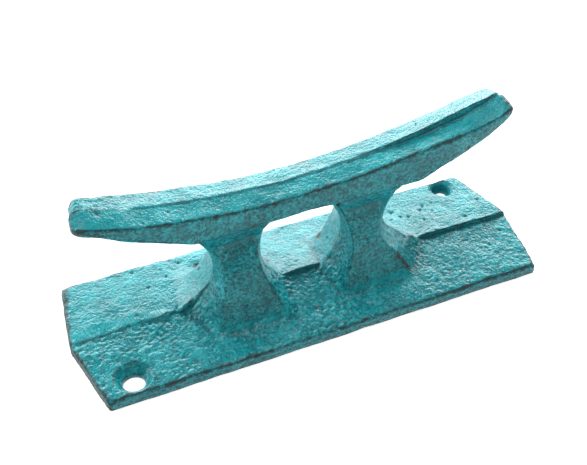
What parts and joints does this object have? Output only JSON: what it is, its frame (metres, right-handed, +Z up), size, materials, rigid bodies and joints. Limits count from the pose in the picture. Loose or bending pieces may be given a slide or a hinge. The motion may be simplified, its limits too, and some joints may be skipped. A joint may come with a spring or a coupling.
{
  "type": "horn cleat",
  "caption": "Cast horn cleat: waisted legs on a ridged rectangular base carry an upswept horn for belaying a line, with countersunk screw holes at opposite corners.",
  "frame": {"origin": "middle of the base on its flat underside", "axes": "+X along the horn and the long side of the base, +Y across the base, +Z up from the seat"},
  "size_m": [0.1394, 0.047, 0.0514],
  "materials": {
    "painted_casting": "aqua paint over rough sand-cast iron, darker in the creases and worn along the edges"
  },
  "bodies": {
    "root": {"base": "painted_casting", "left_leg": "painted_casting", "right_leg": "painted_casting", "horn": "painted_casting"}
  },
  "joints": []
}
